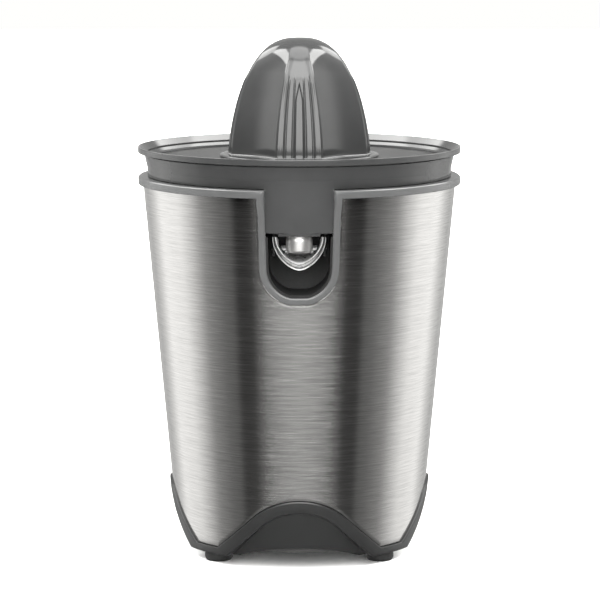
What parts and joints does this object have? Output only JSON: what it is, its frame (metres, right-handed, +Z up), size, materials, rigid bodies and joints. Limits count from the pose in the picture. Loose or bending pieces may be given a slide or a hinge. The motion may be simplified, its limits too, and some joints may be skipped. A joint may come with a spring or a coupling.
{
  "type": "citrus press juicer",
  "caption": "Bench-top electric citrus press: brushed steel drum, dark moulded base, lift-off bowl, strainer and ribbed cone, tilting drip spout.",
  "frame": {"origin": "on the shaft axis, in the plane of the feet's soles", "axes": "+Z up along the drive shaft; the spout looks towards -Y; +X to the right seen from the front"},
  "size_m": [0.1615, 0.1614, 0.2566],
  "materials": {
    "brushed_steel": "fine horizontal brushing",
    "dark_moulding": "satin dark grey",
    "bowl_moulding": "polished dark grey",
    "strainer_moulding": "satin dark grey",
    "cone_moulding": "polished dark grey",
    "skirt_moulding": "fine-grained dark grey",
    "recess_black": "matt black",
    "satin_metal": "satin",
    "spout_silver": "silvered translucent",
    "black_rubber": "matt",
    "plain_steel": "ground steel",
    "housing_moulding": "moulded",
    "bush_bronze": "sintered bronze",
    "gear_moulding": "natural acetal",
    "lamination_steel": "stacked laminations",
    "coil_tape": "tape over copper winding",
    "zinc_plate": "zinc plated",
    "white_moulding": "moulded"
  },
  "bodies": {
    "base": {"outer_shell": "brushed_steel", "trim_ring": "dark_moulding", "spout_recess": "recess_black", "inner_housing": "housing_moulding", "base_skirt": "skirt_moulding", "bottom_cover": "housing_moulding", "foot_front_left": "black_rubber", "foot_front_right": "black_rubber", "foot_back_left": "black_rubber", "foot_back_right": "black_rubber", "base_screws": "plain_steel", "cord_gland": "housing_moulding", "cord_clamp": "housing_moulding", "terminal_block": "white_moulding", "gearbox_lower": "housing_moulding", "gearbox_upper": "housing_moulding", "gearbox_screws": "plain_steel", "output_bush_lower": "bush_bronze", "output_bush_upper": "bush_bronze", "deck_bush": "bush_bronze", "shaft_seal": "black_rubber", "idler_pin": "plain_steel", "motor_stator": "lamination_steel", "motor_coil": "coil_tape", "motor_bracket_upper": "zinc_plate", "motor_bracket_lower": "zinc_plate", "motor_bearings": "bush_bronze", "motor_pillars": "plain_steel", "switch_bracket": "zinc_plate", "bracket_screws": "plain_steel", "lever_pin": "plain_steel", "micro_switch": "housing_moulding", "return_spring": "plain_steel"},
    "output_wheel": {"output_gear": "gear_moulding"},
    "idler_wheel": {"idler_gear": "gear_moulding"},
    "rotor": {"rotor_shaft": "plain_steel", "rotor_core": "lamination_steel", "motor_pinion": "gear_moulding", "cooling_fan": "gear_moulding"},
    "drive_shaft": {"drive_shaft": "plain_steel", "shaft_clip": "plain_steel"},
    "switch_lever": {"switch_lever": "housing_moulding"},
    "switch_plunger": {"switch_plunger": "housing_moulding"},
    "reamer_cone": {"reamer_cone": "cone_moulding", "cone_drive_insert": "housing_moulding"},
    "juice_bowl": {"juice_bowl": "bowl_moulding", "outlet_nozzle": "satin_metal", "nozzle_seal": "black_rubber", "spout_pin": "plain_steel"},
    "pulp_strainer": {"pulp_strainer": "strainer_moulding"},
    "drip_spout": {"drip_spout": "spout_silver"}
  },
  "joints": [
    {"name": "output_spin", "type": "hinge", "parent": "base", "child": "output_wheel", "pos_m": [0, 0, 0.15], "axis": [0, 0, 1], "continuous": true},
    {"name": "idler_spin", "type": "hinge", "parent": "base", "child": "idler_wheel", "pos_m": [-0.03118, 0.018, 0.145], "axis": [0, 0, 1], "continuous": true},
    {"name": "rotor_spin", "type": "hinge", "parent": "base", "child": "rotor", "pos_m": [-0.00529, 0.03063, 0.09], "axis": [0, 0, 1], "continuous": true},
    {"name": "shaft_press", "type": "slide", "parent": "output_wheel", "child": "drive_shaft", "axis": [0, 0, 1], "range_m": [-0.003, 0], "stiffness_N_per_m": 2000, "springref_m": 0.004, "deforming": ["return_spring"]},
    {"name": "lever_tilt", "type": "hinge", "parent": "base", "child": "switch_lever", "pos_m": [0, -0.034, 0.124], "axis": [1, 0, 0], "range_deg": [-6.6, 0]},
    {"name": "plunger_press", "type": "slide", "parent": "base", "child": "switch_plunger", "axis": [0, 0, 1], "range_m": [-0.0016, 0]},
    {"name": "cone_lift", "type": "slide", "parent": "drive_shaft", "child": "reamer_cone", "axis": [0, 0, 1], "range_m": [0, 0.24]},
    {"name": "bowl_lift", "type": "slide", "parent": "base", "child": "juice_bowl", "axis": [0, 0, 1], "range_m": [0, 0.08]},
    {"name": "strainer_lift", "type": "slide", "parent": "juice_bowl", "child": "pulp_strainer", "axis": [0, 0, 1], "range_m": [0, 0.06]},
    {"name": "spout_tilt", "type": "hinge", "parent": "juice_bowl", "child": "drip_spout", "pos_m": [0, -0.056, 0.1575], "axis": [-1, 0, 0], "range_deg": [0, 7.5]}
  ],
  "couplings": [
    {"joint": "idler_spin", "follows": "output_spin", "ratio": -5},
    {"joint": "rotor_spin", "follows": "output_spin", "ratio": 25},
    {"joint": "lever_tilt", "follows": "shaft_press", "rad_per_m": 38},
    {"joint": "plunger_press", "follows": "shaft_press", "ratio": 0.5},
    {"joint": "bowl_lift", "follows": "cone_lift", "ratio": 0.33333},
    {"joint": "strainer_lift", "follows": "cone_lift", "ratio": 0.25}
  ]
}
